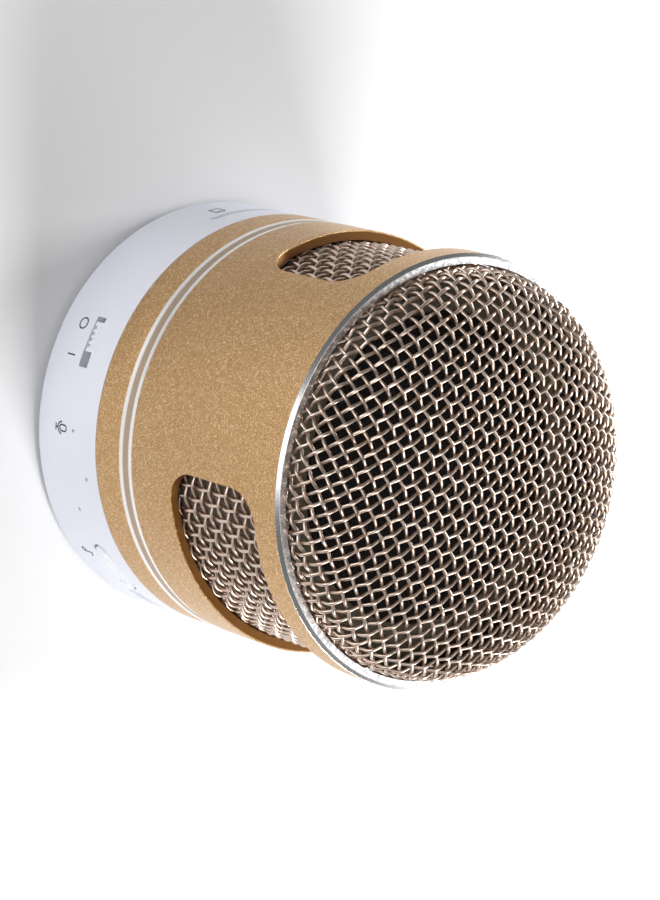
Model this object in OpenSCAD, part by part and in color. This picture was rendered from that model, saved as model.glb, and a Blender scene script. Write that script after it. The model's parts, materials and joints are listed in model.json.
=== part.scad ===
// Compact drum-shaped speaker with a domed wire-mesh head, a windowed metal sleeve and a plastic
// control base. Millimetres. +Z is up, the origin is the centre of the foot's resting face, and
// -Y is the front, where the power switch is. Bearings are degrees from the front towards +X.

/* [Body] */
// Outside diameter of the sleeve and the base
body_d = 60; // [59:0.5:61]
// Height of the plastic base, without the foot
base_h = 13.9; // [13.7:0.1:14.3]
// Height of the metal sleeve above the base
sleeve_h = 39.9; // [39.5:0.1:40.3]
// How far the rubber foot stands proud of the base
foot_proud = 0.6; // [0.4:0.1:0.8]
// Wall thickness of the sleeve behind the windows
sleeve_wall = 1.4; // [1.2:0.1:1.5]
// Wall thickness of the base
base_wall = 1.7; // [1.5:0.1:1.8]

/* [Sleeve details] */
// Height of the decorative groove above the sleeve's lower edge
groove_rise = 5.5; // [4:0.1:7]
// Width of the groove between its outer edges
groove_w = 2.8; // [2.4:0.1:3.2]
// Width of each bright sloping flank of the groove
flank_w = 0.9; // [0.7:0.05:1.1]
// Depth of the groove
groove_depth = 0.15; // [0.1:0.05:0.3]
// Height of each side window
window_h = 18.3; // [17:0.1:18.5]
// Height of the windows' lower edge above the sleeve's lower edge
window_rise = 16.7; // [16.5:0.1:17]
// Bearing of the window edge nearest the front
window_start = 30.5; // [25:0.5:40]
// Corner radius of the windows
window_r = 4.7; // [4:0.1:6]
// Polished bevel on the sleeve's rim
rim_bevel = 0.5; // [0.3:0.05:0.7]

/* [Mesh head] */
// Height of the dome above the sleeve's rim
dome_rise = 10.7; // [9.5:0.1:12]
// Fullness of the dome's shoulder: 2 is an ellipse, more is squarer
dome_fullness = 2.45; // [2:0.05:3]
// Thickness of the woven mesh, two wires
mesh_t = 1; // [0.8:0.1:1.1]

/* [Controls and sockets] */
// Bearing of the power switch
switch_at = 3.9; // [2:0.1:6]
// Travel of the power switch knob
switch_travel = 2.0; // [1.5:0.1:2]
// Bearing of the microphone hole
mic_at = 28.3; // [26:0.1:31]
// Bearing of the rocker key
rocker_at = 71.4; // [70:0.1:72]
// Length of the rocker key
rocker_l = 9.1; // [8.8:0.1:9.2]
// Bearing of the charging socket
usb_at = 90.5; // [90:0.1:91]
// Bearing of the audio socket
jack_at = 111; // [110:0.5:112]
// Bearing of the memory card slot
card_at = -58; // [-60:0.5:-56]

/* [Driver] */
// Outside diameter of the driver's flange
driver_d = 44.8; // [44.4:0.2:45]
// Outside diameter of the ferrite ring
magnet_d = 32; // [28:1:34]
// Diameter of the pole
pole_d = 13.4; // [13:0.1:13.6]

/* [Hidden] */
$fn = 72;

body_r = body_d / 2;
base_z = foot_proud;
sleeve_z = base_z + base_h;
rim_z = sleeve_z + sleeve_h;
step_wall = sleeve_wall + 0.6;
sleeve_bore_r = body_r - sleeve_wall;
sleeve_lower_r = body_r - step_wall;
window_z = sleeve_z + window_rise;
step_z = window_z - 2.3;
corner_turn = asin(window_r / body_r);

// Base
shell_in_r = body_r - base_wall;
spigot_r = sleeve_lower_r - 0.1;
spigot_in_r = spigot_r - 1.3;
spigot_h = 3;
ledge_z = sleeve_z + 0.5;
ledge_in_r = spigot_in_r - 1.3;
bottom_round = 0.6;
cover_t = 1.6;
cover_r = shell_in_r - 0.2;
foot_r = 26;
foot_in_r = 21;
foot_recess = 0.8;
deck_t = 1.4;
deck_r = spigot_in_r - 0.1;
deck_top = ledge_z + deck_t;

// Board and what stands on it
board_z = base_z + 5.2;
board_t = 1.2;
board_top = board_z + board_t;
board_r = shell_in_r - 0.9;
post_r = 2.4;
cover_post_at = [15, 135, 255];
cover_post_ring = 17;
board_post_at = [75, 195, 315];
board_post_ring = 10;
small_post_r = 2;
pilot_r = 0.75;
control_z = base_z + 8.3;

// Power switch
slot_l = 7.5;
slot_h = 1.9;
knob_l = 4.45;
knob_h = 1.6;
knob_face_r = body_r - 0.25;
knob_back_r = body_r - 4;
knob_offset = -(slot_l - knob_l) / 2 + 0.75;
switch_back_r = body_r - 7.8;
switch_front_r = body_r - 3.2;
switch_channel_r = knob_back_r - 0.15;

// Rocker key
rocker_z = base_z + 8.8;
rocker_h = 2.6;
rocker_gap = 0.3;
rocker_face_r = body_r + 0.2;
nub_proud = 0.2;
rocker_back_r = body_r - 2.4;
rocker_pin_r = 0.6;
rocker_pivot_r = body_r - 3.6;
nub_d = 1.7;

// Microphone and light pipes
mic_r = 3;
mic_boot_r = 3.7;
mic_front_r = shell_in_r - 0.5;
pinhole_r = 0.25;
pipe_r = 0.27;
pipe_places = [[40.7, 11.25], [50.7, 7.85]];

// Sockets
usb_w = 7.5;
usb_h = 2.7;
usb_depth = 5;
usb_z = board_top + usb_h / 2;
jack_r = 1.8;
jack_l = 11;
jack_collar_r = 2.9;
jack_z = board_top + 2.5;
card_w = 11.6;
card_gap = 1.2;
card_z = base_z + 9.1;
socket_front_r = shell_in_r - 0.5;

// Driver, from the baffle ring down
baffle_t = 1.6;
side_mesh_top = rim_z - 4;
baffle_top = side_mesh_top - 0.2;
baffle_z = baffle_top - baffle_t;
baffle_r = sleeve_bore_r - mesh_t - 0.3;
driver_r = driver_d / 2;
gasket_t = 0.3;
surround_t = 0.3;
flange_z = baffle_z - gasket_t - surround_t;
roll_r = 18.9;
roll_out = 1.85;
roll_in = roll_out - surround_t;
cone_edge_r = roll_r - 1.7;
cone_edge_z = flange_z;
coil_r = 7.15;
cone_slope = 0.58;
cone_t = 0.4;
cone_neck_z = cone_edge_z - (cone_edge_r - coil_r) * cone_slope;
dust_cap_r = 8.4;
dust_cap_h = 2.4;
basket_t = 0.8;
plate_top = flange_z - 10;
plate_t = 2;
magnet_top = plate_top - plate_t;
magnet_t = 4.5;
yoke_t = 2;
yoke_z = magnet_top - magnet_t - yoke_t;
plate_r = magnet_d / 2 - 0.8;
gap_out_r = 7.9;
pole_r = pole_d / 2;
spider_z = plate_top + 2.9;
tag_y = 19.95;
net_r = 21.6;

// Frame under the baffle ring
frame_ring_t = 2;
frame_in_r = driver_r + 0.5;
frame_post_r = 1.7;
frame_post_ring = 24.7;
frame_post_at = [45, 135, 225, 315];
foot_ring_t = 1.5;

// Battery on the deck
battery_w = 30;
battery_l = 34;
battery_t = 5;
pad_t = 0.6;
battery_z = deck_top + pad_t;
lead_r = 0.55;
lead_slot = [5.2, 4.6];
lead_slot_y = 20.7;

// Shared shapes

// Moves children to a bearing, so that -Y points outward and X runs along the surface
module at(bearing, radius = 0, z = 0) {
    rotate([0, 0, bearing]) translate([0, -radius, z]) children();
}

// Stands a flat outline on the body's side, from one radius outward to another
module outward(from_r, to_r) {
    translate([0, -from_r, 0]) rotate([90, 0, 0]) linear_extrude(to_r - from_r) children();
}

module tube(outer, inner, height) {
    difference() {
        cylinder(r = outer, h = height);
        translate([0, 0, -1]) cylinder(r = inner, h = height + 2);
    }
}

module block(w, depth, h) {
    translate([-w / 2, -depth / 2, 0]) cube([w, depth, h]);
}

module rounded_rect(w, h, r) {
    square([w - 2 * r, h], center = true);
    square([w, h - 2 * r], center = true);
    for (x = [-1, 1], y = [-1, 1]) {
        translate([x * (w / 2 - r), y * (h / 2 - r)]) circle(r);
    }
}

module pill(length, height) {
    square([length - height, height], center = true);
    for (x = [-1, 1]) translate([x * (length - height) / 2, 0]) circle(height / 2);
}

// A screw with a pan head, head down at the origin and shank up
module screw(head_r, head_t, shank_r, length) {
    difference() {
        cylinder(r = head_r, h = head_t);
        translate([0, 0, -0.1]) block(head_r * 1.1, 0.35, head_t * 0.5 + 0.1);
        translate([0, 0, -0.1]) block(0.35, head_r * 1.1, head_t * 0.5 + 0.1);
    }
    translate([0, 0, head_t]) cylinder(r = shank_r, h = length);
}

// Base

module foot_ring() color("dimgray") {
    rotate_extrude() polygon([
        [foot_in_r + 0.3, 0], [foot_r - 0.3, 0], [foot_r - 0.1, 0.3],
        [foot_r - 0.1, foot_proud + foot_recess], [foot_in_r + 0.1, foot_proud + foot_recess],
        [foot_in_r + 0.1, 0.3]
    ]);
}

module base_cover() color("gainsboro") {
    screw_head_r = 1.9;
    difference() {
        translate([0, 0, base_z]) cylinder(r = cover_r, h = cover_t);
        translate([0, 0, base_z - 1]) tube(foot_r, foot_in_r, foot_recess + 1);
        for (bearing = cover_post_at) at(bearing, cover_post_ring, base_z) {
            translate([0, 0, -1]) cylinder(r = 1.15, h = cover_t + 2);
            translate([0, 0, -1]) cylinder(r = screw_head_r, h = 2);
        }
    }
}

module cover_screws() color("silver") {
    for (bearing = cover_post_at) at(bearing, cover_post_ring, base_z + 0.1) {
        screw(1.7, 0.9, pilot_r, 6);
    }
}

module base_profile() {
    difference() {
        union() {
            translate([ledge_in_r, base_z]) square([body_r - ledge_in_r, base_h]);
            translate([spigot_in_r, base_z]) square([spigot_r - spigot_in_r, base_h + spigot_h]);
        }
        translate([body_r - bottom_round, base_z]) difference() {
            translate([0, -1]) square([2, bottom_round + 1]);
            translate([0, bottom_round]) circle(bottom_round);
        }
        translate([ledge_in_r - 1, base_z - 1]) square([shell_in_r - ledge_in_r + 1, base_h - 0.3]);
        translate([ledge_in_r - 1, ledge_z]) square([spigot_in_r - ledge_in_r + 1, spigot_h + 1]);
    }
}

module base_shell() color("white") {
    cut_from = shell_in_r - 2;
    cut_to = body_r + 1;
    difference() {
        rotate_extrude() base_profile();
        at(switch_at, 0, control_z) outward(cut_from, cut_to) square([slot_l, slot_h], center = true);
        at(rocker_at, 0, rocker_z) outward(cut_from, cut_to) {
            pill(rocker_l + 2 * rocker_gap + 0.1, rocker_h + 2 * rocker_gap);
        }
        at(mic_at, 0, control_z + 0.3) outward(cut_from, cut_to) circle(pinhole_r);
        for (place = pipe_places) {
            at(place[0], 0, base_z + place[1]) outward(cut_from, cut_to) circle(pipe_r + 0.05);
        }
        at(usb_at, 0, usb_z) outward(cut_from, cut_to) rounded_rect(usb_w + 0.8, usb_h + 0.6, 0.9);
        at(jack_at, 0, jack_z) outward(cut_from, cut_to) circle(jack_collar_r + 0.15);
        at(card_at, 0, card_z) outward(cut_from - 2, cut_to) {
            square([card_w + 0.5, card_gap], center = true);
        }
    }
}

module deck_plate() color("lightgray") {
    difference() {
        union() {
            translate([0, 0, ledge_z]) cylinder(r = deck_r, h = deck_t);
            for (bearing = cover_post_at) at(bearing, cover_post_ring, base_z + cover_t) {
                cylinder(r = post_r, h = ledge_z - base_z - cover_t + 0.5);
            }
            for (bearing = board_post_at) at(bearing, board_post_ring, board_top) {
                cylinder(r = small_post_r, h = ledge_z - board_top + 0.5);
            }
        }
        for (bearing = cover_post_at) at(bearing, cover_post_ring, base_z) {
            cylinder(r = pilot_r, h = 9);
        }
        for (bearing = board_post_at) at(bearing, board_post_ring, board_z) {
            cylinder(r = pilot_r, h = 6);
        }
        translate([0, lead_slot_y, ledge_z - 1]) block(lead_slot[0], lead_slot[1], deck_t + 2);
    }
}

module main_board() color("darkgreen") {
    difference() {
        translate([0, 0, board_z]) cylinder(r = board_r, h = board_t);
        for (bearing = cover_post_at) at(bearing, cover_post_ring, board_z - 1) {
            cylinder(r = post_r + 0.2, h = board_t + 2);
        }
        for (bearing = board_post_at) at(bearing, board_post_ring, board_z - 1) {
            cylinder(r = 1.1, h = board_t + 2);
        }
        at(mic_at, board_r, board_z - 1) {
            block(2 * mic_boot_r + 0.4, 2 * (board_r - mic_front_r + 3.6), board_t + 2);
        }
    }
}

module board_screws() color("silver") {
    for (bearing = board_post_at) at(bearing, board_post_ring, board_z - 0.8) {
        screw(1.6, 0.8, pilot_r, 4.5);
    }
}

module board_chips() color("black") {
    translate([0, -1, board_top]) block(7, 7, 1.2);
    translate([-8.5, 3.5, board_top]) block(5, 6, 1.4);
    translate([6.5, 8, board_top]) block(4, 3, 1);
    translate([-4.5, -17, board_top]) block(6, 4, 2.2);
}

module board_capacitors() color("slategray") {
    capacitor_r = 2;
    for (x = [-6, 6.5]) translate([x - 4, 15, board_top]) {
        cylinder(r = capacitor_r, h = 5);
        translate([0, 0, 5]) cylinder(r1 = capacitor_r, r2 = capacitor_r - 0.4, h = 0.4);
    }
}

// Power switch

module power_switch() color("silver") {
    depth = switch_front_r - switch_back_r;
    at(switch_at) difference() {
        translate([0, -switch_front_r + depth / 2, board_top]) block(8.6, depth, 3.7);
        translate([0, 0, control_z]) outward(switch_channel_r, switch_front_r + 1) {
            square([slot_l + 0.4, knob_h + 0.3], center = true);
        }
    }
}

module power_knob() color("whitesmoke") {
    rib_count = 5;
    rib_gap = 0.42;
    rib_pitch = knob_l / rib_count;
    at(switch_at) translate([knob_offset, 0, control_z]) difference() {
        outward(knob_back_r, knob_face_r) square([knob_l, knob_h], center = true);
        for (i = [0:rib_count - 2]) {
            translate([(i + 1) * rib_pitch - knob_l / 2, 0, 0]) outward(knob_face_r - 0.3, knob_face_r + 1) {
                square([rib_gap, knob_h + 1], center = true);
            }
        }
    }
}

// Rocker key

module mode_rocker() color("whitesmoke") {
    boss_r = 1.4;
    boss_h = 1.6;
    nub_x = (rocker_l - rocker_h) / 2;
    intersection() {
        at(rocker_at, 0, rocker_z) outward(rocker_back_r, body_r + 1) pill(rocker_l, rocker_h);
        cylinder(r = rocker_face_r, h = sleeve_z);
    }
    intersection() {
        at(rocker_at) for (x = [-nub_x, nub_x]) translate([x, 0, rocker_z]) {
            outward(rocker_back_r, body_r + 1) circle(nub_d / 2);
        }
        cylinder(r = rocker_face_r + nub_proud, h = sleeve_z);
    }
    at(rocker_at) difference() {
        union() {
            translate([-1, -rocker_back_r - 0.5, rocker_z - boss_h / 2]) {
                cube([2, rocker_back_r - rocker_pivot_r + 0.5, boss_h]);
            }
            translate([0, -rocker_pivot_r, rocker_z - boss_h / 2]) cylinder(r = boss_r, h = boss_h);
        }
        translate([0, -rocker_pivot_r, rocker_z - 2]) cylinder(r = rocker_pin_r + 0.06, h = 4);
    }
}

module rocker_pivot() color("dimgray") {
    base_top = rocker_z - 0.9;
    at(rocker_at) translate([0, -rocker_pivot_r, 0]) {
        translate([0, 0.4, board_top]) block(3.4, 3, base_top - board_top);
        translate([0, 0, board_top]) cylinder(r = rocker_pin_r, h = rocker_z + 1.6 - board_top);
        translate([0, 0, rocker_z + 1]) cylinder(r = 1, h = 0.6);
    }
}

module rocker_switches() color("silver") {
    case = 2;
    plunger_r = 0.55;
    case_front_r = body_r - 3.5;
    at(rocker_at) for (x = [-1, 1]) translate([x * 3.3, 0, 0]) {
        translate([0, -case_front_r + case / 2, board_top]) block(case, case, 3.6);
        translate([0, 0, rocker_z]) outward(case_front_r - 0.2, rocker_back_r - 0.25) circle(plunger_r);
    }
}

// Microphone, light pipes and sockets

module microphone() color("silver") {
    depth = 2.7;
    at(mic_at, 0, control_z + 0.3) {
        outward(mic_front_r - 0.6 - depth, mic_front_r - 0.6) circle(mic_r);
    }
}

module microphone_boot() color("black") {
    back_r = mic_front_r - 3.3;
    at(mic_at, 0, control_z + 0.3) difference() {
        outward(back_r, mic_front_r) circle(mic_boot_r);
        outward(back_r - 1, mic_front_r - 0.6) circle(mic_r);
        outward(back_r, mic_front_r + 1) circle(0.9);
    }
}

module light_pipes() color("azure") {
    stem_r = shell_in_r - 1.6;
    for (place = pipe_places) at(place[0]) {
        pipe_z = base_z + place[1];
        translate([0, 0, pipe_z]) outward(stem_r, body_r - 0.03) circle(pipe_r);
        translate([-0.8, -stem_r - 0.8, board_top]) cube([1.6, 1.6, pipe_z + 0.8 - board_top]);
    }
}

module usb_socket() color("silver") {
    shell_t = 0.3;
    at(usb_at, 0, usb_z) difference() {
        outward(socket_front_r - usb_depth, socket_front_r) rounded_rect(usb_w, usb_h, 0.7);
        difference() {
            outward(socket_front_r - usb_depth + 0.6, socket_front_r + 1) {
                rounded_rect(usb_w - 2 * shell_t, usb_h - 2 * shell_t, 0.4);
            }
            outward(socket_front_r - usb_depth, socket_front_r - 0.6) {
                translate([0, 0.25]) square([usb_w - 2.4, 0.6], center = true);
            }
        }
    }
}

module audio_socket() color("black") {
    body_front_r = socket_front_r - 0.2;
    at(jack_at, 0, jack_z) difference() {
        union() {
            outward(body_front_r - jack_l, body_front_r) square([6.2, 5], center = true);
            outward(body_front_r - 0.1, body_r - 0.6) circle(jack_collar_r);
        }
        outward(body_front_r - jack_l + 1, body_r) circle(jack_r);
    }
}

module card_socket() color("silver") {
    depth = 13;
    front_r = ledge_in_r - 0.3;
    at(card_at) difference() {
        translate([0, -front_r + depth / 2, board_top]) block(14, depth, card_z + 1 - board_top);
        translate([0, 0, card_z]) outward(front_r - depth + 1, front_r + 1) {
            square([card_w, card_gap - 0.2], center = true);
        }
        translate([0, -front_r + depth / 2, board_top - 1]) block(11, depth + 2, card_z - 1 - board_top);
    }
}

// Battery and its leads

module battery_pad() color("darkgray") {
    translate([0, 0, deck_top]) block(battery_w - 4, battery_l - 4, pad_t);
}

module battery() color("lightsteelblue") {
    edge_r = 1.6;
    translate([0, 0, battery_z + battery_t / 2]) rotate([90, 0, 0]) {
        translate([0, 0, -battery_l / 2]) linear_extrude(battery_l) {
            rounded_rect(battery_w, battery_t, edge_r);
        }
    }
}

module battery_leads() color("red") {
    top_z = battery_z + battery_t / 2;
    turn_y = battery_l / 2 + 2.4;
    for (x = [-1, 1]) translate([x, 0, 0]) {
        translate([0, turn_y, top_z]) rotate([90, 0, 0]) {
            cylinder(r = lead_r, h = turn_y - battery_l / 2);
        }
        translate([0, turn_y, top_z]) sphere(lead_r);
        translate([0, turn_y, board_top]) cylinder(r = lead_r, h = top_z - board_top);
    }
}

// Sleeve and mesh

module sleeve_profile() {
    groove_z = sleeve_z + groove_rise;
    floor_r = body_r - groove_depth;
    polygon([
        [sleeve_lower_r, sleeve_z], [body_r - 0.15, sleeve_z], [body_r, sleeve_z + 0.15],
        [body_r, groove_z], [floor_r, groove_z + flank_w],
        [floor_r, groove_z + groove_w - flank_w], [body_r, groove_z + groove_w],
        [body_r, rim_z - rim_bevel], [body_r - rim_bevel, rim_z], [sleeve_bore_r, rim_z],
        [sleeve_bore_r, step_z], [sleeve_lower_r, step_z]
    ]);
}

// One window on the +X side: a sector between two end slots with round corners
module window_cut() {
    end_at = window_start + corner_turn;
    cut_in = sleeve_bore_r - 0.5;
    cut_depth = sleeve_wall + 1.5;
    rotate([0, 0, end_at - 90]) rotate_extrude(angle = 180 - 2 * end_at) {
        translate([cut_in, window_z]) square([cut_depth, window_h]);
    }
    for (bearing = [end_at, 180 - end_at]) {
        at(bearing, 0, window_z + window_h / 2) outward(cut_in, cut_in + cut_depth) {
            rounded_rect(2 * window_r, window_h, window_r - 0.001);
        }
    }
}

module sleeve() color("tan") {
    difference() {
        rotate_extrude() sleeve_profile();
        window_cut();
        mirror([1, 0, 0]) window_cut();
    }
}

module side_mesh() color("silver") {
    outer = sleeve_bore_r - 0.05;
    translate([0, 0, step_z]) tube(outer, outer - mesh_t, side_mesh_top - step_z);
}

// Acoustic cloth bonded inside the side mesh
module side_lining() color("rosybrown") {
    outer = sleeve_bore_r - mesh_t - 0.09;
    translate([0, 0, step_z]) tube(outer, baffle_r + 0.03, baffle_top - step_z);
}

// The dome's outline is a superellipse, so its side meets the rim upright and its top is flat
function dome_points(r, h, steps = 22) = [
    for (i = [0:steps])
        let (turn = 90 * i / steps)
        [r * pow(cos(turn), 2 / dome_fullness), rim_z + h * pow(sin(turn), 2 / dome_fullness)]
];

module grille_dome() color("silver") {
    outer_r = sleeve_bore_r - 0.2;
    inner_r = outer_r - mesh_t;
    steps = 22;
    inner = dome_points(inner_r, dome_rise - mesh_t, steps);
    rotate_extrude() polygon(concat(
        [[inner_r, side_mesh_top], [outer_r, side_mesh_top]],
        [for (p = dome_points(outer_r, dome_rise, steps)) [max(p[0], 0), p[1]]],
        [for (i = [steps:-1:0]) [max(inner[i][0], 0), inner[i][1]]]
    ));
}

module grille_hoop() color("dimgray") {
    hoop_r = sleeve_bore_r - 0.2 - mesh_t - 0.05;
    translate([0, 0, baffle_top]) tube(hoop_r, hoop_r - 0.7, 2);
}

// Driver and its frame

module speaker_frame() color("black") {
    ring_z = baffle_z - frame_ring_t;
    difference() {
        union() {
            translate([0, 0, ring_z]) tube(baffle_r, frame_in_r, frame_ring_t);
            translate([0, 0, deck_top]) tube(deck_r, frame_in_r, foot_ring_t);
            for (bearing = frame_post_at) at(bearing, frame_post_ring, deck_top) {
                cylinder(r = frame_post_r, h = baffle_z - deck_top);
            }
        }
        for (bearing = frame_post_at) at(bearing, frame_post_ring, baffle_z - 8) {
            cylinder(r = pilot_r, h = 9);
        }
    }
}

module baffle_ring() color("darkkhaki") {
    difference() {
        translate([0, 0, baffle_z]) tube(baffle_r, roll_r + 2.1, baffle_t);
        for (bearing = frame_post_at) at(bearing, frame_post_ring, baffle_z - 1) {
            cylinder(r = 1.1, h = baffle_t + 2);
        }
    }
}

module baffle_screws() color("dimgray") {
    for (bearing = frame_post_at) at(bearing, frame_post_ring, baffle_top + 0.8) {
        mirror([0, 0, 1]) screw(1.4, 0.8, pilot_r, 6);
    }
}

module acoustic_net() color("black") {
    translate([0, 0, baffle_top]) cylinder(r = net_r, h = 0.2);
}

module driver_basket() color("darkslategray") {
    window_size = 4.4;
    difference() {
        rotate_extrude() polygon([
            [9, plate_top], [14.8, plate_top], [14.8, spider_z - basket_t],
            [18, spider_z - basket_t], [21, flange_z - basket_t], [driver_r, flange_z - basket_t],
            [driver_r, flange_z], [20.4, flange_z], [17.4, spider_z], [14, spider_z],
            [14, plate_top + basket_t], [9, plate_top + basket_t]
        ]);
        for (bearing = [0:60:300]) at(bearing + 30, 0, (spider_z + flange_z) / 2 - 0.3) {
            outward(16, 24) square([window_size * 2, window_size - 0.8], center = true);
        }
    }
}

module driver_yoke() color("silver") {
    translate([0, 0, yoke_z]) cylinder(r = plate_r, h = yoke_t);
    translate([0, 0, yoke_z]) cylinder(r = pole_r, h = plate_top - yoke_z);
}

module driver_magnet() color("black") {
    translate([0, 0, yoke_z + yoke_t]) tube(magnet_d / 2, 9, magnet_t);
}

module driver_top_plate() color("silver") {
    translate([0, 0, magnet_top]) tube(plate_r, gap_out_r, plate_t);
}

module coil_former() color("wheat") {
    former_z = plate_top - 3.4;
    translate([0, 0, former_z]) tube(coil_r, coil_r - 0.15, cone_neck_z + cone_t - former_z);
}

module voice_coil() color("chocolate") {
    translate([0, 0, plate_top - 3.2]) tube(coil_r + 0.35, coil_r + 0.01, 4);
}

// Height of the spider's wave at a share of its width: ripples, then a flat foot
function ripple(share) = share > 0.7 ? 0 : 0.35 * sin(360 * 5 * share);

// A thin rippled ring between the coil and the basket's ledge
module driver_spider() color("goldenrod") {
    inner = coil_r + 0.05;
    width = 16.6 - inner;
    steps = 40;
    t = 0.3;
    rotate_extrude() polygon(concat(
        [for (i = [0:steps]) [inner + width * i / steps, spider_z + ripple(i / steps)]],
        [for (i = [steps:-1:0]) [inner + width * i / steps, spider_z + t + ripple(i / steps)]]
    ));
}

module driver_cone() color("black") {
    lip = 1;
    rotate_extrude() polygon([
        [coil_r + 0.01, cone_neck_z], [cone_edge_r - lip, cone_edge_z - cone_t - lip * 0.3],
        [cone_edge_r, cone_edge_z - cone_t], [cone_edge_r, cone_edge_z],
        [cone_edge_r - lip, cone_edge_z], [coil_r + 0.01, cone_neck_z + cone_t * 1.2]
    ]);
}

module dust_cap() color("black") {
    cap_z = cone_neck_z + cone_t * 1.2 + (dust_cap_r - coil_r) * cone_slope;
    ball_r = (dust_cap_r * dust_cap_r + dust_cap_h * dust_cap_h) / (2 * dust_cap_h);
    translate([0, 0, cap_z]) difference() {
        translate([0, 0, dust_cap_h - ball_r]) sphere(ball_r);
        translate([0, 0, dust_cap_h - ball_r]) sphere(ball_r - cone_t);
        translate([0, 0, -2 * ball_r]) cylinder(r = ball_r + 1, h = 2 * ball_r);
    }
}

module driver_surround() color("black") {
    foot_in = cone_edge_r - 0.9;
    foot_out = driver_r - 0.2;
    rotate_extrude() {
        difference() {
            translate([roll_r, flange_z]) circle(roll_out);
            translate([roll_r, flange_z]) circle(roll_in);
            translate([roll_r - 3, flange_z - 3]) square([6, 3]);
        }
        translate([foot_in, flange_z]) square([roll_r - roll_in - foot_in, surround_t]);
        translate([roll_r + roll_in, flange_z]) square([foot_out - roll_r - roll_in, surround_t]);
    }
}

module driver_gasket() color("dimgray") {
    translate([0, 0, flange_z + surround_t]) tube(driver_r, roll_r + 2.1, gasket_t);
}

module driver_terminals() color("peru") {
    tag_z = spider_z + 0.2;
    translate([0, tag_y + 0.5, tag_z]) block(6, 1, 3.4);
    translate([0, tag_y - 0.5, tag_z]) block(3, 1, 1);
}

module driver_leads() color("red") {
    lead_y = 21.6;
    top_z = spider_z + 1.6;
    for (x = [-1.6, 1.6]) translate([x, 0, 0]) {
        translate([0, lead_y, top_z]) rotate([90, 0, 0]) cylinder(r = lead_r, h = lead_y - tag_y - 1);
        translate([0, lead_y, top_z]) sphere(lead_r);
        translate([0, lead_y, board_top]) cylinder(r = lead_r, h = top_z - board_top);
    }
}

foot_ring();
base_cover();
cover_screws();
base_shell();
deck_plate();
main_board();
board_screws();
board_chips();
board_capacitors();
power_switch();
power_knob();
mode_rocker();
rocker_pivot();
rocker_switches();
microphone();
microphone_boot();
usb_socket();
audio_socket();
card_socket();
light_pipes();
battery_pad();
battery();
battery_leads();
sleeve();
side_mesh();
side_lining();
speaker_frame();
driver_basket();
driver_yoke();
driver_magnet();
driver_top_plate();
coil_former();
voice_coil();
driver_spider();
driver_cone();
dust_cap();
driver_surround();
driver_gasket();
driver_terminals();
driver_leads();
baffle_ring();
baffle_screws();
acoustic_net();
grille_hoop();
grille_dome();
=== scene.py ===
import json
import math

import bpy
import numpy as np
from mathutils import Matrix, Vector


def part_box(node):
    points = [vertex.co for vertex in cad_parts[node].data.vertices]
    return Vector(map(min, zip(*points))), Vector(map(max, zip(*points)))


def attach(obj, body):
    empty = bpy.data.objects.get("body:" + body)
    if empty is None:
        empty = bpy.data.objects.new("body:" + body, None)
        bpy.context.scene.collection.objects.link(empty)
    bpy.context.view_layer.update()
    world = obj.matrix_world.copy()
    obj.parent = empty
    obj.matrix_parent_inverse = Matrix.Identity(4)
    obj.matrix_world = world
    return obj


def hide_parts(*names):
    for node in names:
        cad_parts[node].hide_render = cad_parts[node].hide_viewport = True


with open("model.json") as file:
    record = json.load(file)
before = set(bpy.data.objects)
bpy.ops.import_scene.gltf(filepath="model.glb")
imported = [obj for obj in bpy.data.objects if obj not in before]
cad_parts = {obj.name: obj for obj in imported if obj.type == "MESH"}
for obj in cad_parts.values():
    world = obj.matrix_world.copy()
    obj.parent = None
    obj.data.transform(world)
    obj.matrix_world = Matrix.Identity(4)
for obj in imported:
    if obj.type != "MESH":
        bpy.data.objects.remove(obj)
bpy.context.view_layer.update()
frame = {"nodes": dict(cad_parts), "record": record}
NODES = frame["nodes"]
MM = 0.001

# Where things are, in millimetres from the CAD boxes
SLEEVE_LOW, SLEEVE_HIGH = [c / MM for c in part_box("sleeve")]
BODY_R = SLEEVE_HIGH.x
SLEEVE_Z = SLEEVE_LOW.z
RIM_Z = SLEEVE_HIGH.z
DOME_LOW, DOME_HIGH = [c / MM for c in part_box("grille_dome")]
SIDE_LOW, SIDE_HIGH = [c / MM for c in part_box("side_mesh")]
LINING_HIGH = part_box("side_lining")[1] / MM

# The sleeve's turned details, as heights above its lower edge
GROOVE_RISE = 5.5
GROOVE_WIDTH = 2.8
FLANK_WIDTH = 0.9
# The groove's lower flank is bright over this much of its height
LOW_LINE_WIDTH = 0.66
RIM_BEVEL = 0.5
# How far in from the outside the sleeve counts as its outer face, groove included
SKIN_DEPTH = 0.17

# The woven mesh. The head's mesh is drawn closer in one direction than in the other
WIRE_R = 0.25
WIRE_SIDES = 8
SIDE_PITCH = 1.8
SIDE_STEPS_A_PITCH = 8
WARP_GAP = 1.63
WEFT_GAP = 1.78
DOME_STEPS_A_PITCH = 7
DOME_FULLNESS = 2.45
DOME_TURN = math.radians(-35.8)

# The printed marks: size over their drawn size, half a stroke's width and the white base's radius less a hair
MARK_SCALE = 1.3
MARK_HALF_WIDTH = 0.11
MARK_R = BODY_R - 0.006

# The view: where the camera stands and looks, in millimetres, its roll and its lens
CAMERA_PLACE = (65.59, -310.24, 385.04)
CAMERA_AIM = (1.577, -1.130, 31.228)
CAMERA_ROLL = math.radians(105.92)
CAMERA_LENS = 136

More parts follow.
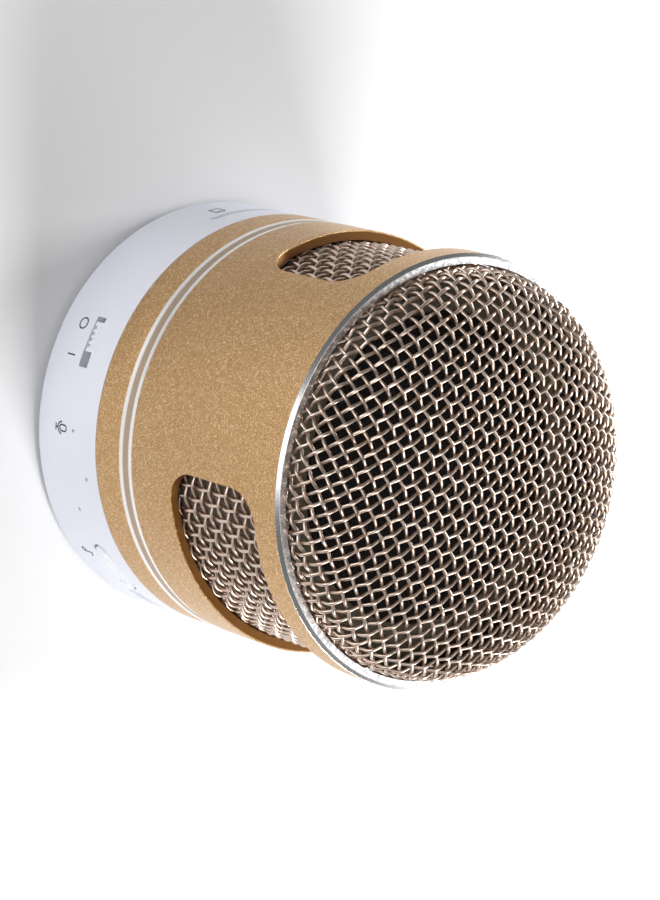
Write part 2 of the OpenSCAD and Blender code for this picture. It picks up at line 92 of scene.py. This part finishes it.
# The studio. Softboxes: name, bearing from the front towards +X, elevation, distance, size, power
FLOOR_WHITE = (0.86, 0.86, 0.865)
SKY_STRENGTH = 0.12
SOFTBOXES = [
    ("key_box", 130, 42, 0.7, 0.26, 4.4),
    ("front_box", 6, 12, 0.7, 0.3, 1.8),
    ("left_box", -136, 12, 0.6, 0.2, 3.6),
    ("rear_box", -168, 47, 0.7, 0.34, 0.8),
    ("high_box", 20, 42, 0.7, 0.45, 0.9),
]


# ---------------------------------------------------------------- materials


class Look:
    """A Principled material with short ways to add procedural nodes to it."""

    def __init__(self, name, colour, rough, metallic=0.0, **constants):
        self.material = bpy.data.materials.new(name)
        self.material.use_nodes = True
        self.tree = self.material.node_tree
        self.shader = self.tree.nodes["Principled BSDF"]
        self.shader.inputs["Base Color"].default_value = (*colour, 1)
        self.shader.inputs["Roughness"].default_value = rough
        self.shader.inputs["Metallic"].default_value = metallic
        for socket, value in constants.items():
            self.shader.inputs[socket.replace("_", " ").title()].default_value = value
        self.place = self.scaled(self.add("ShaderNodeTexCoord").outputs["Object"], 1 / MM)

    def add(self, kind, **values):
        node = self.tree.nodes.new(kind)
        for key, value in values.items():
            setattr(node, key, value)
        return node

    def link(self, source, socket):
        if isinstance(source, bpy.types.NodeSocket):
            self.tree.links.new(source, socket)
        else:
            socket.default_value = source

    def scaled(self, vector, factor):
        node = self.add("ShaderNodeVectorMath", operation="MULTIPLY")
        self.link(vector, node.inputs[0])
        node.inputs[1].default_value = (factor,) * 3 if isinstance(factor, float) else factor
        return node.outputs[0]

    def math(self, operation, a, b=0.0):
        node = self.add("ShaderNodeMath", operation=operation)
        self.link(a, node.inputs[0])
        self.link(b, node.inputs[1])
        return node.outputs[0]

    def axis(self, letter):
        node = self.add("ShaderNodeSeparateXYZ")
        self.link(self.place, node.inputs[0])
        return node.outputs[letter]

    def radius(self):
        flat = self.scaled(self.place, (1.0, 1.0, 0.0))
        node = self.add("ShaderNodeVectorMath", operation="LENGTH")
        self.link(flat, node.inputs[0])
        return node.outputs["Value"]

    def bearing(self):
        return self.math("ARCTAN2", self.axis("X"), self.axis("Y"))

    def noise(self, scale, detail=2.0, roughness=0.5, place=None):
        node = self.add("ShaderNodeTexNoise")
        self.link(self.place if place is None else place, node.inputs["Vector"])
        node.inputs["Scale"].default_value = scale
        node.inputs["Detail"].default_value = detail
        node.inputs["Roughness"].default_value = roughness
        return node.outputs["Fac"]

    def cells(self, scale, feature="F1", output="Distance", place=None):
        node = self.add("ShaderNodeTexVoronoi", feature=feature)
        self.link(self.place if place is None else place, node.inputs["Vector"])
        node.inputs["Scale"].default_value = scale
        return node.outputs[output]

    def spread(self, value, low, high, to_low=0.0, to_high=1.0, smooth=True):
        """Maps low..high to to_low..to_high and holds the ends."""
        node = self.add("ShaderNodeMapRange")
        node.interpolation_type = "SMOOTHSTEP" if smooth else "LINEAR"
        self.link(value, node.inputs["Value"])
        node.inputs["From Min"].default_value = low
        node.inputs["From Max"].default_value = high
        node.inputs["To Min"].default_value = to_low
        node.inputs["To Max"].default_value = to_high
        return node.outputs["Result"]

    def within(self, value, low, high, soft=0.04):
        """1 between low and high, 0 outside, with soft edges."""
        rise = self.spread(value, low - soft, low + soft)
        fall = self.spread(value, high - soft, high + soft, 1.0, 0.0)
        return self.math("MULTIPLY", rise, fall)

    def blend(self, share, a, b):
        node = self.add("ShaderNodeMix", data_type="RGBA")
        self.link(share, node.inputs["Factor"])
        self.link((*a, 1) if isinstance(a, tuple) else a, node.inputs["A"])
        self.link((*b, 1) if isinstance(b, tuple) else b, node.inputs["B"])
        return node.outputs["Result"]

    def mixed(self, share, a, b):
        node = self.add("ShaderNodeMix", data_type="FLOAT")
        self.link(share, node.inputs["Factor"])
        self.link(a, node.inputs["A"])
        self.link(b, node.inputs["B"])
        return node.outputs["Result"]

    def paint(self, source):
        self.link(source, self.shader.inputs["Base Color"])

    def roughen(self, source):
        self.link(source, self.shader.inputs["Roughness"])

    def metal(self, source):
        self.link(source, self.shader.inputs["Metallic"])

    def bump(self, height, depth, strength=1.0):
        """Raises the surface by height times depth millimetres."""
        node = self.add("ShaderNodeBump")
        self.link(height, node.inputs["Height"])
        node.inputs["Strength"].default_value = strength
        node.inputs["Distance"].default_value = depth * MM
        before = self.shader.inputs["Normal"].links
        if before:
            self.link(before[0].from_socket, node.inputs["Normal"])
        self.link(node.outputs["Normal"], self.shader.inputs["Normal"])


def shade(colour, factor):
    return tuple(min(1.0, c * factor) for c in colour)


def moulded(name, colour, rough, grain=6.0, depth=0.012, uneven=0.06, **constants):
    """Moulded plastic or rubber: spark-eroded grain, faint flow marks and handling wear."""
    look = Look(name, colour, rough, **constants)
    cloud = look.noise(0.12, 3.0)
    look.paint(look.blend(cloud, shade(colour, 1 - uneven), shade(colour, 1 + uneven)))
    fine = look.noise(grain, 2.0)
    worn = look.noise(0.5, 4.0, 0.6)
    look.roughen(look.spread(worn, 0.3, 0.7, rough * 0.88, min(1.0, rough * 1.12)))
    look.bump(fine, depth)
    return look.material


def machined(name, colour, rough, streak=(0.6, 0.6, 14.0), depth=0.006, **constants):
    """Metal with fine tool or brush lines along one direction and small stains."""
    look = Look(name, colour, rough, 1.0, **constants)
    lines = look.noise(1.0, 3.0, place=look.scaled(look.place, streak))
    stain = look.noise(0.35, 3.0)
    look.paint(look.blend(stain, shade(colour, 0.9), shade(colour, 1.08)))
    look.roughen(look.spread(lines, 0.3, 0.7, rough * 0.75, rough * 1.3))
    look.bump(lines, depth)
    return look.material


def weave(look, across_turns, along_turns, colour, light, depth):
    """Threads over and under in two directions, from the thread count run along each."""
    across = look.math("SINE", across_turns)
    along = look.math("SINE", along_turns)
    thread = look.math("MAXIMUM", look.math("ABSOLUTE", across), look.math("ABSOLUTE", along))
    crown = look.math("MULTIPLY", across, along)
    height = look.math("ADD", thread, look.math("MULTIPLY", crown, 0.5))
    tone = look.math("MULTIPLY", look.spread(thread, 0.55, 1.0), look.noise(3.0, 3.0))
    look.paint(look.blend(tone, colour, light))
    look.bump(height, depth)


def cloth(name, colour, light, pitch, rough=0.85, depth=0.05, gloss=0.5):
    """A plain woven cloth lying flat."""
    look = Look(name, colour, rough)
    look.shader.inputs["Specular IOR Level"].default_value = gloss
    turn = math.pi / pitch
    across_turns = look.math("MULTIPLY", look.axis("X"), turn)
    along_turns = look.math("MULTIPLY", look.axis("Y"), turn)
    weave(look, across_turns, along_turns, colour, light, depth)
    return look.material


def cloth_round(name, colour, light, pitch):
    """A plain woven cloth bonded round the inside of the drum."""
    look = Look(name, colour, 0.85)
    turn = math.pi / pitch
    across_turns = look.math("MULTIPLY", look.bearing(), LINING_HIGH.x * turn)
    along_turns = look.math("MULTIPLY", look.axis("Z"), turn)
    weave(look, across_turns, along_turns, colour, light, 0.05)
    return look.material


def fibrous(name, colour, rough=0.9, depth=0.04, **constants):
    """Pressed pulp, paper or felt: short matted fibres."""
    look = Look(name, colour, rough, **constants)
    fibres = look.noise(2.2, 5.0, 0.7, place=look.scaled(look.place, (1.0, 1.0, 2.5)))
    look.paint(look.blend(fibres, shade(colour, 0.7), shade(colour, 1.35)))
    look.bump(fibres, depth)
    return look.material


def foamed(name, colour):
    """Closed-cell foam: round pores of mixed size."""
    look = Look(name, colour, 0.95)
    pores = look.cells(2.6, "SMOOTH_F1")
    look.paint(look.blend(look.spread(pores, 0.1, 0.5), shade(colour, 0.6), shade(colour, 1.25)))
    look.bump(pores, 0.15)
    return look.material


def solder_mask(name):
    """Green solder mask over traces, with tinned pads showing."""
    green = (0.012, 0.085, 0.035)
    look = Look(name, green, 0.32)
    grid = look.scaled(look.place, (1.0, 1.0, 0.0))
    traces = look.cells(0.42, "DISTANCE_TO_EDGE", place=grid)
    track = look.spread(traces, 0.05, 0.09, 1.0, 0.0)
    pads = look.spread(look.cells(0.75, place=grid), 0.16, 0.2, 1.0, 0.0)
    tracked = look.blend(track, green, (0.03, 0.17, 0.07))
    look.paint(look.blend(pads, tracked, (0.62, 0.6, 0.55)))
    look.metal(pads)
    look.bump(track, 0.03)
    return look.material


def gold_sleeve():
    """Bead-blasted gold anodising with painted glints (painted highlight) and dark specks (painted shade),
    bright turned flanks, bevel and rim, and window walls and bore painted a darker gold as painted shade.
    """
    gold = (0.6, 0.365, 0.165)
    look = Look("gold_sleeve", gold, 0.32, 1.0)
    height = look.axis("Z")
    radius = look.radius()
    # blasted grain: random cells painted as specks, dark ones as painted shade and pale ones as painted
    # glints (painted highlight)
    grain = look.noise(5.5, 3.0, 0.75)
    speck_tones = look.add("ShaderNodeSeparateColor")
    look.link(look.cells(6.8, output="Color"), speck_tones.inputs[0])
    painted_glint = look.spread(speck_tones.outputs[0], 0.7, 1.0)
    painted_dark_speck = look.spread(speck_tones.outputs[1], 0.55, 1.0)
    cloud = look.noise(0.06, 2.0)
    plain = look.blend(cloud, shade(gold, 0.94), shade(gold, 1.05))
    # painted shade: dark specks over the gold
    plain = look.blend(look.math("MULTIPLY", painted_dark_speck, 0.62), plain, (0.3, 0.15, 0.045))
    # painted highlight: pale glints over the gold
    plain = look.blend(look.math("MULTIPLY", painted_glint, 0.75), plain, (0.95, 0.74, 0.46))
    # masks from the turned profile
    groove = SLEEVE_Z + GROOVE_RISE
    low_flank = look.within(height, groove, groove + LOW_LINE_WIDTH, 0.13)
    high_start = groove + GROOVE_WIDTH - FLANK_WIDTH
    high_flank = look.within(height, high_start, high_start + FLANK_WIDTH, 0.13)
    flank = look.math("MAXIMUM", low_flank, high_flank)
    floor = look.within(height, groove + LOW_LINE_WIDTH, high_start, 0.13)
    bevel = look.spread(height, RIM_Z - RIM_BEVEL - 0.03, RIM_Z - RIM_BEVEL + 0.03)
    rim = look.spread(height, RIM_Z - 0.06, RIM_Z - 0.02)
    inside = look.spread(radius, BODY_R - SKIN_DEPTH - 0.1, BODY_R - SKIN_DEPTH - 0.04, 1.0, 0.0)
    painted_shade_wall = look.math("MULTIPLY", inside, look.spread(height, RIM_Z - 3.0, RIM_Z - 2.9, 1.0, 0.0))
    turned = look.math("MAXIMUM", flank, bevel)
    # rim face: radial chatter from the facing cut
    around = look.add("ShaderNodeCombineXYZ")
    look.link(look.math("MULTIPLY", look.bearing(), 26.0), around.inputs["X"])
    look.link(look.math("MULTIPLY", radius, 0.7), around.inputs["Y"])
    chatter = look.noise(2.0, 4.0, 0.65, place=around.outputs[0])
    silver = look.blend(look.spread(chatter, 0.3, 0.7), (0.55, 0.55, 0.56), (0.95, 0.95, 0.96))
    colour = look.blend(floor, plain, (0.5, 0.39, 0.29))
    # the window walls and the bore inside the sleeve are painted a darker gold: painted shade
    colour = look.blend(painted_shade_wall, colour, (0.22, 0.1, 0.03))
    colour = look.blend(turned, colour, (0.95, 0.94, 0.93))
    colour = look.blend(rim, colour, silver)
    look.paint(colour)
    rough = look.spread(grain, 0.3, 0.7, 0.26, 0.38)
    rough = look.mixed(painted_shade_wall, rough, 0.5)
    rough = look.mixed(turned, rough, 0.24)
    rough = look.mixed(rim, rough, look.spread(chatter, 0.3, 0.7, 0.42, 0.2))
    look.roughen(rough)
    smooth = look.math("MAXIMUM", look.math("MAXIMUM", turned, rim), painted_shade_wall)
    blasted = look.math("SUBTRACT", 1.0, smooth)
    look.bump(look.math("MULTIPLY", grain, blasted), 0.07)
    look.bump(look.math("MULTIPLY", chatter, rim), 0.05)
    lines = look.noise(1.0, 2.0, place=look.scaled(look.place, (0.2, 0.2, 16.0)))
    look.bump(look.math("MULTIPLY", lines, turned), 0.01)
    return look.material


def mesh_wire():
    """Nickel-champagne wire: smooth drawn surface, soft tarnish in patches and faint draw marks."""
    look = Look("mesh_wire", (0.62, 0.52, 0.45), 0.34, 1.0)
    patch = look.noise(0.22, 4.0, 0.6)
    fine = look.noise(1.6, 2.0)
    tone = look.blend(patch, (0.57, 0.44, 0.35), (0.78, 0.65, 0.56))
    look.paint(look.blend(look.math("MULTIPLY", fine, 0.16), tone, (0.36, 0.25, 0.18)))
    look.roughen(look.spread(fine, 0.3, 0.7, 0.3, 0.38))
    look.bump(fine, 0.006)
    return look.material


def white_base():
    """Cool white satin plastic with a very fine moulded grain."""
    colour = (0.80, 0.815, 0.9)
    look = Look("white_base", colour, 0.34, coat_weight=0.2, coat_roughness=0.2)
    cloud = look.noise(0.05, 2.0)
    look.paint(look.blend(cloud, shade(colour, 0.98), shade(colour, 1.01)))
    worn = look.noise(0.3, 4.0, 0.6)
    look.roughen(look.spread(worn, 0.3, 0.7, 0.3, 0.4))
    look.bump(look.noise(7.0, 2.0), 0.004)
    return look.material


def olive_ring():
    """Dull gold paint on the ring under the dome, with orange peel and small scuffs."""
    colour = (0.055, 0.042, 0.022)
    look = Look("olive_paint", colour, 0.6, 0.2)
    scuff = look.noise(0.9, 5.0, 0.7)
    look.paint(look.blend(look.spread(scuff, 0.45, 0.75), colour, (0.13, 0.1, 0.055)))
    look.bump(look.noise(2.5, 2.0), 0.03)
    return look.material


def clear_pipe():
    """Clear plastic light pipe, slightly milky."""
    look = Look("clear_pipe", (0.85, 0.9, 0.93), 0.12, transmission_weight=0.5)
    look.roughen(look.spread(look.noise(1.2, 3.0), 0.3, 0.7, 0.08, 0.2))
    look.bump(look.noise(4.0, 2.0), 0.004)
    return look.material


def foil_cell():
    """Heat-sealed foil pouch: silver film with shallow creases."""
    look = Look("foil_cell", (0.62, 0.66, 0.72), 0.28, 0.85)
    crease = look.noise(0.35, 4.0, 0.6)
    look.paint(look.blend(crease, (0.5, 0.54, 0.6), (0.72, 0.75, 0.8)))
    look.bump(crease, 0.3)
    look.roughen(look.spread(look.noise(2.0), 0.3, 0.7, 0.2, 0.36))
    return look.material


def ferrite():
    """Ground ferrite: dark, slightly sparkling, with grinding lines."""
    look = Look("ferrite", (0.035, 0.035, 0.04), 0.45, 0.3)
    grain = look.noise(3.5, 4.0, 0.7)
    look.paint(look.blend(grain, (0.02, 0.02, 0.022), (0.075, 0.075, 0.085)))
    look.bump(look.noise(1.0, 2.0, place=look.scaled(look.place, (9.0, 0.5, 9.0))), 0.02)
    return look.material


def wound_copper():
    """Enamelled copper turns, one above another."""
    look = Look("wound_copper", (0.62, 0.26, 0.1), 0.28, 1.0)
    turns = look.math("SINE", look.math("MULTIPLY", look.axis("Z"), 2 * math.pi / 0.16))
    look.paint(look.blend(look.spread(turns, -1.0, 0.0), (0.25, 0.08, 0.03), (0.7, 0.3, 0.12)))
    look.bump(turns, 0.04)
    return look.material


def material_table():
    """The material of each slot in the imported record."""
    steel = machined("plated_screw_steel", (0.62, 0.62, 0.63), 0.3)
    return {
        "rubber": moulded("foot_rubber", (0.035, 0.035, 0.038), 0.8, 3.0, 0.05),
        "white_plastic": white_base(),
        "cover_plastic": moulded("cover_plastic", (0.72, 0.74, 0.8), 0.5, 5.0, 0.03, 0.03),
        "key_plastic": moulded("key_plastic", (0.84, 0.85, 0.9), 0.25, 6.0, 0.003, 0.02, coat_weight=0.3),
        "black_plastic": moulded("black_plastic", (0.022, 0.022, 0.024), 0.5, 5.0, 0.02, 0.1),
        "board": solder_mask("board"),
        "chip": moulded("chip_epoxy", (0.018, 0.018, 0.02), 0.6, 4.0, 0.02, 0.1),
        "capacitor": machined("capacitor_can", (0.56, 0.58, 0.62), 0.35, (6.0, 6.0, 0.5)),
        "steel": steel,
        "plated_steel": machined("socket_plate", (0.68, 0.68, 0.7), 0.22, (8.0, 0.6, 0.6), 0.004),
        "gold_aluminium": gold_sleeve(),
        "mesh_wire": mesh_wire(),
        "dark_metal": machined("dark_metal", (0.05, 0.05, 0.054), 0.5, (0.4, 0.4, 6.0), 0.02),
        "olive_plastic": olive_ring(),
        "dark_screw": machined("dark_screw", (0.09, 0.08, 0.07), 0.5, (2.0, 2.0, 2.0)),
        "net_fabric": cloth(
            "net_fabric", (0.0015, 0.001, 0.001), (0.012, 0.008, 0.006), 0.42, 0.7, 0.08, 0.08
        ),
        "lining_fabric": cloth_round("lining_fabric", (0.1, 0.07, 0.053), (0.25, 0.185, 0.145), 0.5),
        "cone_paper": fibrous("cone_paper", (0.02, 0.02, 0.022)),
        "former_paper": fibrous("former_paper", (0.45, 0.34, 0.17), 0.8, 0.02),
        "copper": wound_copper(),
        "spider_fabric": cloth("spider_fabric", (0.4, 0.26, 0.06), (0.62, 0.44, 0.14), 0.5),
        "soft_rubber": moulded("soft_rubber", (0.018, 0.018, 0.02), 0.45, 2.0, 0.02, 0.1),
        "foam": foamed("pad_foam", (0.06, 0.06, 0.065)),
        "magnet": ferrite(),
        "cell": foil_cell(),
        "lead": moulded("lead_jacket", (0.45, 0.015, 0.012), 0.4, 3.0, 0.01),
        "clear_plastic": clear_pipe(),
        "tag_board": fibrous("tag_board", (0.3, 0.17, 0.07), 0.6, 0.01),
        "print": moulded("mark_print", (0.03, 0.03, 0.035), 0.55, 9.0, 0.004, 0.2),
    }


# ---------------------------------------------------------------- mesh helpers


def new_piece(name, verts, faces, material, body="housing"):
    """A smooth mesh piece from millimetre points, riding on a CAD body."""
    mesh = bpy.data.meshes.new(name)
    mesh.from_pydata((verts * MM).tolist(), [], faces)
    mesh.polygons.foreach_set("use_smooth", [True] * len(mesh.polygons))
    mesh.materials.append(material)
    mesh.update()
    piece = bpy.data.objects.new(name, mesh)
    bpy.context.scene.collection.objects.link(piece)
    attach(piece, body)
    return piece


def sweep(centres, normals, section, closed=False):
    """Points and faces of a section swept along a path. section is (sideways, upward) pairs."""
    if closed:
        ahead = np.roll(centres, -1, axis=0)
        behind = np.roll(centres, 1, axis=0)
    else:
        ahead = np.vstack([centres[1:], centres[-1:]])
        behind = np.vstack([centres[:1], centres[:-1]])
    tangents = ahead - behind
    tangents /= np.linalg.norm(tangents, axis=1)[:, None]
    sides = np.cross(tangents, normals)
    sides /= np.linalg.norm(sides, axis=1)[:, None]
    ups = np.cross(sides, tangents)
    count, around = len(centres), len(section)
    points = np.empty((count, around, 3))
    for k, (sideways, upward) in enumerate(section):
        points[:, k] = centres + sideways * sides + upward * ups
    faces = []
    for i in range(count if closed else count - 1):
        a = i * around
        b = (i + 1) % count * around
        for k in range(around):
            n = (k + 1) % around
            faces.append((a + k, a + n, b + n, b + k))
    if not closed:
        faces.append(tuple(range(around - 1, -1, -1)))
        last = (count - 1) * around
        faces.append(tuple(range(last, last + around)))
    return points.reshape(-1, 3), faces


def joined(parts):
    """Several (points, faces) as one."""
    points, faces, start = [], [], 0
    for some_points, some_faces in parts:
        points.append(some_points)
        faces.extend(tuple(i + start for i in face) for face in some_faces)
        start += len(some_points)
    return np.vstack(points), faces


def wire_section():
    turns = [2 * math.pi * k / WIRE_SIDES for k in range(WIRE_SIDES)]
    return [(WIRE_R * math.cos(t), WIRE_R * math.sin(t)) for t in turns]


# ---------------------------------------------------------------- woven dome


def dome_meridian():
    """Distance from the pole, radius, height and outward normal along the mesh's middle surface."""
    half = WIRE_R * 2
    radius = DOME_HIGH.x - half
    rise = DOME_HIGH.z - RIM_Z - half
    turns = np.linspace(math.pi / 2, 0, 400)
    power = 2 / DOME_FULLNESS
    r = radius * np.clip(np.cos(turns), 0, 1) ** power
    z = RIM_Z + rise * np.clip(np.sin(turns), 0, 1) ** power
    r[0] = 0
    skirt = np.linspace(RIM_Z, DOME_LOW.z + 0.3, 30)[1:]
    r = np.concatenate([r, np.full(len(skirt), radius)])
    z = np.concatenate([z, skirt])
    run = np.concatenate([[0], np.cumsum(np.hypot(np.diff(r), np.diff(z)))])
    even = np.linspace(0, run[-1], 600)
    r_even = np.interp(even, run, r)
    z_even = np.interp(even, run, z)
    out = -np.gradient(z_even, even)
    up = np.gradient(r_even, even)
    for _ in range(3):
        out = np.convolve(np.pad(out, 4, "edge"), np.ones(9) / 9, "valid")
        up = np.convolve(np.pad(up, 4, "edge"), np.ones(9) / 9, "valid")
    length = np.hypot(out, up)
    return even, r_even, z_even, out / length, up / length


def woven_dome(material):
    """Plain-woven wires pressed over the dome, one piece for each direction of wire."""
    run, radius, height, out, up = dome_meridian()
    reach = run[-1]
    cos_turn, sin_turn = math.cos(DOME_TURN), math.sin(DOME_TURN)
    for name, gap, crossing_gap, first_side in (
        ("dome_warp", WARP_GAP, WEFT_GAP, 1),
        ("dome_weft", WEFT_GAP, WARP_GAP, -1),
    ):
        parts = []
        lines = int(reach / gap)
        for line in range(-lines, lines + 1):
            offset = line * gap
            half = math.sqrt(max(reach * reach - offset * offset, 0))
            if half < gap:
                continue
            count = max(int(2 * half / crossing_gap * DOME_STEPS_A_PITCH), 8)
            along = np.linspace(-half, half, count)
            across = np.full(count, offset)
            x, y = (along, across) if name == "dome_warp" else (across, along)
            side = first_side if line % 2 == 0 else -first_side
            crimp = side * WIRE_R * np.cos(math.pi * along / crossing_gap)
            flat_x = x * cos_turn - y * sin_turn
            flat_y = x * sin_turn + y * cos_turn
            distance = np.hypot(flat_x, flat_y)
            angle = np.arctan2(flat_y, flat_x)
            r = np.interp(distance, run, radius)
            z = np.interp(distance, run, height)
            o = np.interp(distance, run, out)
            u = np.interp(distance, run, up)
            normals = np.stack([o * np.cos(angle), o * np.sin(angle), u], axis=1)
            middle = np.stack([r * np.cos(angle), r * np.sin(angle), z], axis=1)
            parts.append(sweep(middle + normals * crimp[:, None], normals, wire_section()))
        points, faces = joined(parts)
        piece = new_piece(name, points, faces, material)
    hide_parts("grille_dome")


# ---------------------------------------------------------------- woven side mesh


def woven_side(material):
    """The rolled mesh strip behind the windows: upright wires and hoops."""
    middle_r = SIDE_HIGH.x - 2 * WIRE_R
    uprights = 2 * round(math.pi * middle_r / SIDE_PITCH)
    step = 2 * math.pi / uprights
    low = SIDE_LOW.z + 0.3
    high = SIDE_HIGH.z - 0.3
    hoops = int((high - low) / SIDE_PITCH)
    first = (low + high - (hoops - 1) * SIDE_PITCH) / 2
    parts = []
    for k in range(uprights):
        angle = k * step
        z = np.linspace(low, high, int((high - low) / SIDE_PITCH * SIDE_STEPS_A_PITCH))
        sign = 1 if k % 2 == 0 else -1
        r = middle_r + sign * WIRE_R * np.cos(math.pi * (z - first) / SIDE_PITCH)
        outward = np.array([math.cos(angle), math.sin(angle), 0.0])
        centres = outward * r[:, None] + np.array([0, 0, 1.0]) * z[:, None]
        parts.append(sweep(centres, np.tile(outward, (len(z), 1)), wire_section()))
    points, faces = joined(parts)
    upright_piece = new_piece("side_uprights", points, faces, material)
    parts = []
    for j in range(hoops):
        angle = np.arange(uprights * SIDE_STEPS_A_PITCH) * step / SIDE_STEPS_A_PITCH
        sign = -1 if j % 2 == 0 else 1
        r = middle_r + sign * WIRE_R * np.cos(math.pi * angle / step)
        outward = np.stack([np.cos(angle), np.sin(angle), 0 * angle], axis=1)
        centres = outward * r[:, None]
        centres[:, 2] = first + j * SIDE_PITCH
        parts.append(sweep(centres, outward, wire_section(), closed=True))
    points, faces = joined(parts)
    hoop_piece = new_piece("side_hoops", points, faces, material)
    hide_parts("side_mesh")


# ---------------------------------------------------------------- printed marks


def ring_path(x, y, radius, start=0, stop=360, count=28):
    turns = np.radians(np.linspace(start, stop, count + 1))
    points = [(x + radius * math.sin(t), y + radius * math.cos(t)) for t in turns]
    return points[:-1] if stop - start == 360 else points


def dense(points, step=0.2):
    """The same path with points close enough to bend round the base."""
    result = [points[0]]
    for a, b in zip(points, points[1:]):
        pieces = max(int(math.dist(a, b) / step), 1)
        for k in range(1, pieces + 1):
            share = k / pieces
            result.append((a[0] + (b[0] - a[0]) * share, a[1] + (b[1] - a[1]) * share))
    return result


def printed_marks(material):
    """Thin pictograms round the base: off and on, microphone, note and memory card."""
    off = [(ring_path(0, 0, 0.62), True)]
    on = [([(0, -0.65), (0, 0.65)], False)]
    microphone = [
        (ring_path(0, 0.55, 0.34, -90, 90, 12) + ring_path(0, 0.05, 0.34, 90, 270, 12), True),
        (ring_path(0, 0.05, 0.66, 90, 270, 16), False),
        ([(0, -0.62), (0, -0.98)], False),
        ([(-0.38, -0.98), (0.38, -0.98)], False),
    ]
    note = [
        ([(0.3, -0.55), (0.3, 0.75), (0.85, 0.4)], False),
        (ring_path(0.02, -0.55, 0.26), True),
    ]
    card = [
        ([(-0.65, -0.8), (0.65, -0.8), (0.65, 0.8), (-0.25, 0.8), (-0.65, 0.4), (-0.65, -0.8)], False),
        ([(-0.15, 0.5), (-0.15, 0.2)], False),
        ([(0.18, 0.5), (0.18, 0.2)], False),
    ]
    # each mark with its bearing and height
    marks = [
        (off, -0.5, 5.6),
        (on, 8.5, 5.6),
        (microphone, 28.3, 6.4),
        (note, 66.0, 5.2),
        (card, -53.0, 6.8),
    ]
    half = MARK_HALF_WIDTH
    section = [(-half, -0.03), (half, -0.03), (half, 0.02), (-half, 0.02)]
    parts = []
    for strokes, bearing, z in marks:
        for path, closed in strokes:
            path = [(x * MARK_SCALE, y * MARK_SCALE) for x, y in path]
            points = dense(path + path[:1] if closed else path)
            points = points[:-1] if closed else points
            turns = [math.radians(bearing) + x / MARK_R for x, _ in points]
            normals = np.array([(math.sin(t), -math.cos(t), 0) for t in turns])
            centres = normals * MARK_R
            centres[:, 2] = [z + y for _, y in points]
            parts.append(sweep(centres, normals, section, closed))
    points, faces = joined(parts)
    piece = new_piece("base_marks", points, faces, material)
    for polygon in piece.data.polygons:
        polygon.use_smooth = False
    return piece


# ---------------------------------------------------------------- CAD nodes


def finish_cad_nodes(looks):
    """Gives each CAD node its slot's material and smooth shading over its curved faces."""
    slots = {part["node"]: part["material_slot"] for part in frame["record"]["subparts"]}
    for name, node in NODES.items():
        node.data.materials.clear()
        node.data.materials.append(looks[slots[name]])
        node.data.polygons.foreach_set("use_smooth", [True] * len(node.data.polygons))
        weld = node.modifiers.new("weld", "WELD")
        weld.merge_threshold = 0.000002
        split = node.modifiers.new("split", "EDGE_SPLIT")
        split.split_angle = math.radians(24)


# ---------------------------------------------------------------- camera, floor, lights


def make_camera():
    """The photograph's view: from above the front, rolled so that the drum seems to lie down."""
    data = bpy.data.cameras.new("camera")
    data.lens = CAMERA_LENS
    data.sensor_width = 36
    data.clip_start = 0.01
    data.clip_end = 20
    camera = bpy.data.objects.new("camera", data)
    place = Vector(CAMERA_PLACE) * MM
    aim = Vector(CAMERA_AIM) * MM
    look = (aim - place).to_track_quat("-Z", "Y").to_matrix().to_4x4()
    camera.matrix_world = Matrix.Translation(place) @ look @ Matrix.Rotation(CAMERA_ROLL, 4, "Z")
    bpy.context.scene.collection.objects.link(camera)
    bpy.context.scene.camera = camera


def make_floor():
    """A plain white floor."""
    mesh = bpy.data.meshes.new("floor")
    half = 3.0
    corners = [(-half, -half, 0), (half, -half, 0), (half, half, 0), (-half, half, 0)]
    mesh.from_pydata(corners, [], [(0, 1, 2, 3)])
    look = Look("floor", FLOOR_WHITE, 0.9)
    look.bump(look.noise(0.02, 2.0), 0.05)
    mesh.materials.append(look.material)
    floor = bpy.data.objects.new("floor", mesh)
    bpy.context.scene.collection.objects.link(floor)


def soft_light(name, bearing, elevation, distance, size, power):
    """A square softbox aimed at the drum. Bearings are degrees from the front towards +X."""
    data = bpy.data.lights.new(name, "AREA")
    data.shape = "SQUARE"
    data.size = size
    data.energy = power
    light = bpy.data.objects.new(name, data)
    turn = math.radians(bearing)
    rise = math.radians(elevation)
    aim = Vector((0, 0, 0.033))
    away = Vector((math.sin(turn) * math.cos(rise), -math.cos(turn) * math.cos(rise), math.sin(rise)))
    light.location = aim + away * distance
    light.rotation_euler = (-away).to_track_quat("-Z", "Y").to_euler()
    bpy.context.scene.collection.objects.link(light)


def make_lights():
    world = bpy.data.worlds.new("studio")
    world.use_nodes = True
    sky = world.node_tree.nodes["Background"]
    sky.inputs["Color"].default_value = (0.97, 0.98, 1.0, 1)
    sky.inputs["Strength"].default_value = SKY_STRENGTH
    bpy.context.scene.world = world
    for softbox in SOFTBOXES:
        soft_light(*softbox)
    bpy.context.scene.view_settings.view_transform = "Standard"


make_camera()
make_floor()
make_lights()
looks = material_table()
finish_cad_nodes(looks)
woven_dome(looks["mesh_wire"])
woven_side(looks["mesh_wire"])
printed_marks(looks["print"])
